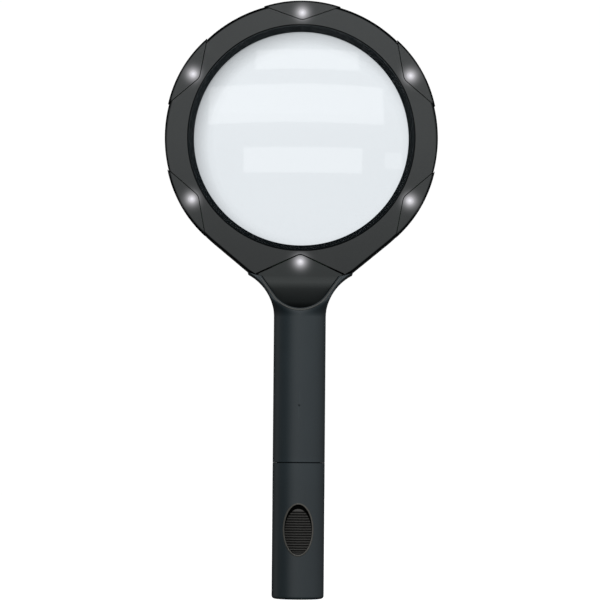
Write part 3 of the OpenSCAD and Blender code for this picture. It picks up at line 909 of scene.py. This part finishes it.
def build_lamps():
    """Domed lamps that stand in the covers' holes."""
    material = lamp_lens()
    foot, foot_r = LAMP_FOOT_Y, LAMP_R + 0.2
    for name in LAMP_ANGLES:
        node = "led_" + name
        x, z = lamp_place(name)
        dome = node_box(node)[0].y + LAMP_R
        profile = [(LAMP_R * sin(radians(a)), dome - LAMP_R * cos(radians(a)))
                   for a in range(0, 91, 9)]
        profile += [(LAMP_R, foot - 0.85), (foot_r, foot - 0.8), (foot_r, foot), (0, foot)]
        body = turned(profile, steps=40, centre=(x, z), closed=False)
        legs = [rod(x + dx, z, foot - 0.1, -1.1, 0.25, steps=12) for dx in (-1.0, 1.0)]
        piece = new_shape(node + "_lamp", join(body, *legs))
        place(piece, "handle", "lamp", material, node)


# ---- handle ----
def section_half(width, depth, corner, side, nick=0.0):
    """Half of a rounded handle section from +X round the front (side -1) or back to -X; a nick
    breaks the edge where two halves meet."""
    corner = max(0.02, min(corner, width - 0.02, depth - 0.2))
    out = [(width - nick, 0.0)]
    for i in range(4):
        out.append((width, side * (nick + (depth - corner - nick) * i / 3)))
    for i in range(1, 19):
        a = pi / 2 * i / 18
        out.append((width - corner * (1 - cos(a)), side * (depth - corner + corner * sin(a))))
    flat = width - corner
    for i in range(1, 9):
        out.append((flat - flat * i / 8, side * depth))
    out += [(-x, y) for x, y in reversed(out[:-1])]
    return out


def neck_width(z):
    if z <= NECK_Z:
        return HANDLE_W
    return min(ARM_W, HANDLE_W + NECK_R - sqrt(NECK_R ** 2 - (z - NECK_Z) ** 2))


def neck_depth(z):
    return HANDLE_D + (BACK_Y - HANDLE_D) * smooth((z - NECK_Z - 1) / (NECK_TOP - NECK_Z - 1))


def neck_corner(z):
    t = max(0.0, 2.2 * (z - NECK_Z) / (NECK_TOP - NECK_Z))
    return HANDLE_W + (ARM_ROUND - HANDLE_W) * smooth(t)


def grip_levels():
    """Heights with the outside's and inside's distance in from the full section."""
    spigot, inside, tube = 1.7, 2.8, WALL
    rows = [(SPIGOT_Z, spigot + 0.25, inside), (SPIGOT_Z + 0.25, spigot, inside)]
    seam = SEAM_Z + 0.02
    rows += [(seam - 0.1, spigot, inside), (seam, spigot, inside), (seam, SEAM_CUT, inside),
             (seam + SEAM_CUT, 0.0, inside), (seam + 3, 0.0, inside), (seam + 3, 0.0, tube)]
    rows += [(z, 0.0, tube) for z in (68, 80, 92, 104, 112, 115, NECK_Z)]
    rows += [(NECK_Z + 0.1, 0.0, None)]
    z = NECK_Z + 0.6
    while z < NECK_TOP - 0.7:
        rows.append((z, 0.0, None))
        z += 0.6
    rows += [(NECK_TOP - 0.2, 0.0, None), (NECK_TOP - 0.05, 0.06, None), (NECK_TOP, 0.2, None)]
    return rows


def grip_shell(side):
    """Closed shell of one half of the handle, from the spigot up to the head."""
    nick = 0.16
    outer, inner = [], []
    for z, out_step, in_step in grip_levels():
        w, d, c = neck_width(z), neck_depth(z), neck_corner(z)
        outer.append([(x, y, z) for x, y in section_half(w - out_step, d - out_step,
                                                         c - out_step, side, nick)])
        if in_step is None:
            hollow = section_half(8.4, 1.3, 0.4, side)
        else:
            hollow = section_half(w - in_step, d - in_step, c - in_step, side)
        inner.append([(x, y, z) for x, y in hollow])
    rows = outer + list(reversed(inner))
    verts, faces = skin(rows, wrap_rows=True, wrap_cols=False)
    count, half = len(rows[0]), len(outer)
    last = len(rows) - 1
    for k in (0, count - 1):
        for i in range(half - 1):
            faces.append((i * count + k, (i + 1) * count + k,
                          (last - i - 1) * count + k, (last - i) * count + k))
    return verts, faces


def build_grip_front():
    piece = new_shape("grip_front_shell", grip_shell(-1))
    carve(piece, prism(shield_outline(SEAM_GAP), -30, -2.6))
    drop_x, drop_z, top = SCOOP_W + 0.2, EAR_Z - 0.08, NECK_TOP + 3
    carve(piece, prism([(-ARM_W, NECK_TOP), (-drop_x, drop_z), (drop_x, drop_z),
                        (ARM_W, NECK_TOP), (ARM_W, top), (-ARM_W, top)], -30, 5))
    carve(piece, bead(lip_path(BEAD_OUT), neck_front, 0.40, 0.22, False), "UNION")
    carve(piece, rod(0, MARK_Z, -HANDLE_D - 1, -HANDLE_D + 0.3, 0.5, steps=20))
    even_normals(piece)
    place(piece, "handle", "shell", grip_plastic, "grip_front")


def build_grip_rear():
    piece = new_shape("grip_rear_shell", grip_shell(1))
    for x in (-5, 5):
        carve(piece, rod(x, 126, 8.5, 20, SCREW_R))
    soften(piece, 0.15)
    place(piece, "handle", "shell", rear_plastic, "grip_rear")


def full_section(width, depth, corner):
    front = section_half(width, depth, corner, -1)
    back = section_half(width, depth, corner, 1)
    return front + list(reversed(back[1:-1]))


def oval(grow=0.0, drop=0.0, steps=96):
    return [((OVAL_W + grow) * cos(2 * pi * i / steps),
             SWITCH_Z - drop + (OVAL_H + grow) * sin(2 * pi * i / steps))
            for i in range(steps)]


def handle_front(x, proud=0.0):
    """Y of the handle's round front at a distance x from its centre."""
    reach = HANDLE_W + proud
    return -(HANDLE_D - HANDLE_W) - sqrt(max(0.0, reach ** 2 - x * x))


def bead(path, surface, half_wide, proud, closed):
    """Raised bead along a front-view path, half buried in the surface y = surface(x, z)."""
    rows = []
    count, round_steps = len(path), 10
    for i, (x, z) in enumerate(path):
        last = path[i - 1] if closed or i else path[0]
        after = path[(i + 1) % count] if closed or i < count - 1 else path[-1]
        along = (Vector(after) - Vector(last)).normalized()
        row = []
        for k in range(round_steps):
            b = 2 * pi * k / round_steps
            sx = x - along.y * half_wide * cos(b)
            sz = z + along.x * half_wide * cos(b)
            row.append((sx, surface(sx, sz) - proud * sin(b), sz))
        rows.append(row)
    return skin(rows, wrap_rows=closed, close_ends=not closed)


def neck_front(x, z):
    """Y of the handle's front at a place in front view, neck included."""
    width, depth, corner = neck_width(z), neck_depth(z), neck_corner(z)
    over = abs(x) - (width - corner)
    if over <= 0:
        return -depth
    return -(depth - corner) - sqrt(max(0.0, corner ** 2 - over ** 2))


def build_cap():
    """Battery cap: a closed sleeve with a rounded end, the switch opening and its rim."""
    floor = [(9.0, 0.0), (4.0, 0.0)]
    end = list(reversed(quarter(END_ROUND, steps=6)))
    up = [(0.0, 8.0), (0.0, SWITCH_Z), (0.0, 45.0), (0.0, SEAM_Z - SEAM_CUT), (SEAM_CUT, SEAM_Z)]
    down = [(WALL - 0.15, SEAM_Z), (WALL, SEAM_Z - 0.15), (WALL, 30.0), (WALL, 3.0),
            (WALL + 1.0, 2.0), (4.0, 2.0), (9.0, 2.0)]
    rows = []
    for step, z in floor + end + up + down:
        rows.append([(x, y, z) for x, y in full_section(HANDLE_W - step, HANDLE_D - step,
                                                        HANDLE_W - step)])
    piece = new_shape("battery_cap_sleeve", skin(rows, close_ends=True))
    carve(piece, prism(oval(), -30, -6))
    rim = oval(RIM, steps=128)
    carve(piece, bead(rim, lambda x, z: handle_front(x), RIM, 0.32, True), "UNION")
    even_normals(piece)
    place(piece, "cap", "shell", cap_plastic, "battery_cap")


def rib_height(z):
    """How proud the thumb piece stands at a height: a smooth land above even round ribs."""
    top = SWITCH_Z + 7.6
    if z > top:
        return 0.42
    phase = (top - z) / RIB_PITCH
    if phase > RIBS:
        return 0.0
    wave = 0.5 + 0.5 * cos(2 * pi * phase)
    return -0.18 + 0.63 * wave


def build_slider():
    """Ribbed thumb piece on its flat guide plate."""
    rows = []
    z = SWITCH_Z - OVAL_H - 2
    while z < SWITCH_Z + OVAL_H + 1:
        front = [(x / 2, handle_front(x / 2, rib_height(z)), z) for x in range(-13, 14)]
        back = [(x / 2, thumb_low.y + 4.4, z) for x in range(13, -14, -1)]
        rows.append(front + back)
        z += RIB_PITCH / 10
    piece = new_shape("switch_slider_thumb", skin(rows, close_ends=True), sharp=60)
    carve(piece, prism(oval(-0.12), -30, 0), "INTERSECT", sharp=60)
    carve(piece, prism(oval(-0.12, STROKE + 0.1), -30, 0), "INTERSECT", sharp=60)
    plate = rounded([(-6.2, thumb_low.z, 1.0), (6.2, thumb_low.z, 1.0),
                     (6.2, thumb_high.z, 1.0), (-6.2, thumb_high.z, 1.0)])
    guide_y = thumb_high.y
    carve(piece, prism(plate, guide_y - 1, guide_y), "UNION", sharp=50)
    place(piece, "slider", "thumb", thumb_plastic, "switch_slider")


# ---- cells, contacts and fasteners ----
def build_cell(node):
    """One cell: crimped can, film with a rolled edge, seal ring and terminal."""
    low, high = node_box(node)
    cx, cy = (low.x + high.x) / 2, (low.y + high.y) / 2
    r = (high.x - low.x) / 2
    base = low.z
    profile = [(0, 0.35), (4.2, 0.35), (4.8, 0.0), (r - 0.7, 0.0), (r - 0.25, 0.2),
               (r - 0.12, 0.6), (r - 0.12, 0.9), (r, 1.0), (r, 48.2), (r - 0.3, 48.6),
               (r - 0.9, 48.75), (r - 1.0, 48.55), (3.4, 48.5), (3.3, 48.9), (2.85, 49.0),
               (2.75, 49.3), (2.75, 50.1), (2.5, CELL_H), (0, CELL_H)]
    rows = []
    for i in range(96):
        a = 2 * pi * i / 96
        rows.append([(cx + p * cos(a), cy + p * sin(a), base + h) for p, h in profile])
    piece = new_shape(node + "_cell", skin(rows, wrap_rows=True, wrap_cols=False))
    place(piece, "handle", "cell_wrap", cell_film(base), node)


def finish_node(node, material, width=0.0):
    """Gives a carried-over CAD node its material and softly rounded edges."""
    piece = frame["nodes"][node]
    paint(piece, material)
    if width:
        soften(piece, width, angle=50, segments=2)


def finish_inside():
    for node in ("head_screws", "grip_screws", "switch_screws"):
        finish_node(node, steel, 0.08)
    for node in ("positive_contact", "negative_strip", "switch_contact_upper",
                 "switch_contact_lower", "switch_blade"):
        finish_node(node, brass, 0.06)
    finish_node("battery_spring", spring_steel)
    finish_node("lens_gasket", rubber("gasket_rubber", (0.012, 0.012, 0.012)))
    finish_node("led_board", laminate())
    finish_node("resistors", chip_ceramic(), 0.08)
    finish_node("wire_positive", insulation("wire_red", (0.42, 0.02, 0.015)))
    finish_node("wire_negative", insulation("wire_black", (0.012, 0.012, 0.012)))
    finish_node("contact_holder", holder_plastic, 0.15)
    finish_node("switch_base", holder_plastic, 0.1)


# ---- stage, light and camera ----
CAMERA_AWAY = 1.091
CAMERA_Z = 0.057
AIM_Z = 0.12392
CAMERA_ROLL = radians(0.47)
SEEN_WIDTH = 0.24965
BAND_AWAY = 1.6
BACK_OFF = 0.36
BACK_DOWN = 0.053
FLOOR_GAP = 0.012
SKY_STRENGTH = 2.04


def unseen(piece, *kinds):
    """Hides a piece from the given kinds of ray."""
    for kind in kinds:
        setattr(piece, "visible_" + kind, False)


def build_floor():
    """Plain pale floor, low enough to leave room for the cap when it is pulled off."""
    radius, steps = 8.0, 64
    mesh = bpy.data.meshes.new("floor")
    level = cad_low.z - CAP_TRAVEL - FLOOR_GAP
    ring = [(x, y, level) for x, y in arc((0, 0), radius, 0, 360 - 360 / steps, steps - 1)]
    mesh.from_pydata(ring, [], [tuple(range(steps))])
    floor = new_object("floor", mesh)
    n = Nodes("floor_white")
    cloud = n.noise(0.002)
    colour = n.mix(cloud, (0.88, 0.88, 0.88, 1), (0.92, 0.92, 0.92, 1))
    floor.data.materials.append(n.surface(Base_Color=colour, Roughness=0.9,
                                          Emission_Color=(1, 1, 1, 1), Emission_Strength=0.86))
    unseen(floor, "glossy", "diffuse")


def build_world():
    """Studio surroundings, plain white to the eye. In reflections there is a broad bright front
    with a dark flag at its left, dark sides and back, and a darker ground; the front turns with
    the camera, so that every side of the object is lit alike."""
    world = bpy.data.worlds.new("studio")
    bpy.context.scene.world = world
    world.use_nodes = True
    n = Nodes(owner=world)

    ray = n.add("ShaderNodeTexCoord").outputs["Generated"]
    up = n.split(ray)[2]

    def to_camera(vector):
        made = n.add("ShaderNodeVectorTransform", {0: vector}, vector_type="VECTOR",
                     convert_from="WORLD", convert_to="CAMERA")
        return n.split(made.outputs[0])

    seen = to_camera(ray)
    sky = to_camera((0, 0, 1))
    # Horizontal direction behind the camera: its back axis less that axis's upward part.
    lean = n.times(sky[2], -1.0)
    behind = n.times(seen[2], -1.0)
    level = n.math("DIVIDE", n.minus(behind, n.times(lean, up)),
                   n.math("SQRT", n.minus(1.0, n.times(lean, lean))))
    azimuth = n.math("ARCTAN2", seen[0], level)
    turn = n.math("MULTIPLY_ADD", azimuth, 0.5 / pi, 0.5)
    round_stops = [(-180, 0.03), (-140, 0.05), (-112, 0.34), (-96, 0.14), (-52, 0.09),
                   (-30, 0.66), (-10, 0.80), (12, 0.66), (50, 0.58), (75, 0.52), (100, 0.32),
                   (140, 0.06), (180, 0.03)]
    round_tone = n.ramp(turn, *[(0.5 + a / 360, v) for a, v in round_stops])
    height = n.math("MULTIPLY_ADD", up, 0.5, 0.5)
    tall_stops = [(-1.0, 0.12), (-0.64, 0.22), (-0.42, 0.50), (-0.14, 1.0), (0.05, 1.0),
                  (0.22, 1.6), (0.5, 1.6), (0.74, 1.0), (1.0, 0.3)]
    tall_tone = n.ramp(height, *[(0.5 + v / 2, t / 2) for v, t in tall_stops])
    lit = n.add("ShaderNodeMix", {0: 1.0, 6: round_tone, 7: tall_tone}, data_type="RGBA",
                blend_type="MULTIPLY").outputs[2]
    path = n.add("ShaderNodeLightPath").outputs
    open_view = n.math("MAXIMUM", path["Is Camera Ray"], path["Is Transmission Ray"])
    colour = n.mix(open_view, lit, (0.5, 0.5, 0.5, 1))
    glow = n.add("ShaderNodeBackground", {"Color": colour, "Strength": SKY_STRENGTH})
    n.add("ShaderNodeOutputWorld", {"Surface": glow.outputs[0]})


def area_light(name, spot, aim, size, power):
    """Soft rectangular light at a spot, turned towards a point; metres and watts."""
    data = bpy.data.lights.new(name, "AREA")
    data.shape = "RECTANGLE"
    data.size, data.size_y = size
    data.energy = power
    light = new_object(name, data)
    light.location = spot
    light.rotation_mode = "QUATERNION"
    light.rotation_quaternion = (Vector(aim) - Vector(spot)).to_track_quat("-Z", "Y")
    return light


def build_lights(lens):
    """Soft lights above the front and the back, and four panels that only the lens mirrors."""
    for name, spot, power in (("soft_front", (0.05, -0.36, 0.37), 1.5),
                              ("soft_back", (-0.10, 0.42, 0.42), 1.6)):
        light = area_light(name, spot, (0, 0, 0.2), (0.30, 0.20), power)
        unseen(light, "glossy", "transmission", "camera")
    only_lens = bpy.data.collections.new("mirrored_in_lens")
    only_lens.objects.link(lens)
    for name, low, high, left, right in (("band_low", -0.8, 4.9, -12.8, 13.6),
                                         ("band_middle", 10.5, 19.1, -21.0, 18.5),
                                         ("band_high", 22.5, 26.9, -10.8, 13.4),
                                         ("band_side", 0.4, 4.2, 18.6, 22.5)):
        low_z, high_z, left_x, right_x = [BAND_AWAY * tan(radians(a))
                                          for a in (low, high, left, right)]
        wide, tall = right_x - left_x, high_z - low_z
        x, z = (left_x + right_x) / 2, HEAD_Z * MM + (low_z + high_z) / 2
        radiance = 1.0 if name == "band_side" else 1.6
        light = area_light(name, (x, -BAND_AWAY, z), (x, 0, z), (wide, tall),
                           pi * wide * tall * radiance)
        unseen(light, "diffuse", "transmission", "camera")
        light.light_linking.receiver_collection = only_lens


def build_camera():
    """Camera low in front and a little below the middle, looking slightly up."""
    data = bpy.data.cameras.new("camera")
    data.sensor_width = 36.0
    tilt = atan((AIM_Z - CAMERA_Z) / CAMERA_AWAY)
    reach = hypot(AIM_Z - CAMERA_Z, CAMERA_AWAY)
    data.lens = data.sensor_width * reach / SEEN_WIDTH
    camera = new_object("camera", data)
    camera.location = (0, FACE_Y * MM - CAMERA_AWAY, CAMERA_Z)
    look = Matrix.Rotation(pi / 2 + tilt, 3, "X") @ Matrix.Rotation(CAMERA_ROLL, 3, "Z")
    camera.rotation_euler = look.to_euler()
    bpy.context.scene.camera = camera
    follow_cap(camera)


def follow_cap(camera):
    """Backs the camera off as the battery cap is pulled, so that the cap stays in view."""
    step = camera.constraints.new("TRANSFORM")
    step.target = frame["bodies"]["cap"]
    step.target_space = step.owner_space = "WORLD"
    step.map_from = step.map_to = "LOCATION"
    step.mix_mode = "ADD"
    step.map_to_x_from, step.map_to_y_from, step.map_to_z_from = "X", "Z", "Z"
    rest = step.target.matrix_world.translation.z
    step.from_min_z, step.from_max_z = rest - CAP_TRAVEL, rest
    step.to_min_y, step.to_max_y = -BACK_OFF, 0.0
    step.to_min_z, step.to_max_z = -BACK_DOWN, 0.0


def build_all():
    build_head_front()
    build_head_rear()
    build_tongue()
    build_covers()
    build_scoop()
    build_bezel()
    build_lamps()
    build_grip_front()
    build_grip_rear()
    build_cap()
    build_slider()
    build_cell("battery_upper")
    build_cell("battery_lower")
    finish_inside()


build_all()
build_floor()
build_world()
build_lights(build_lens())
build_camera()
bpy.context.scene.view_settings.view_transform = "Standard"
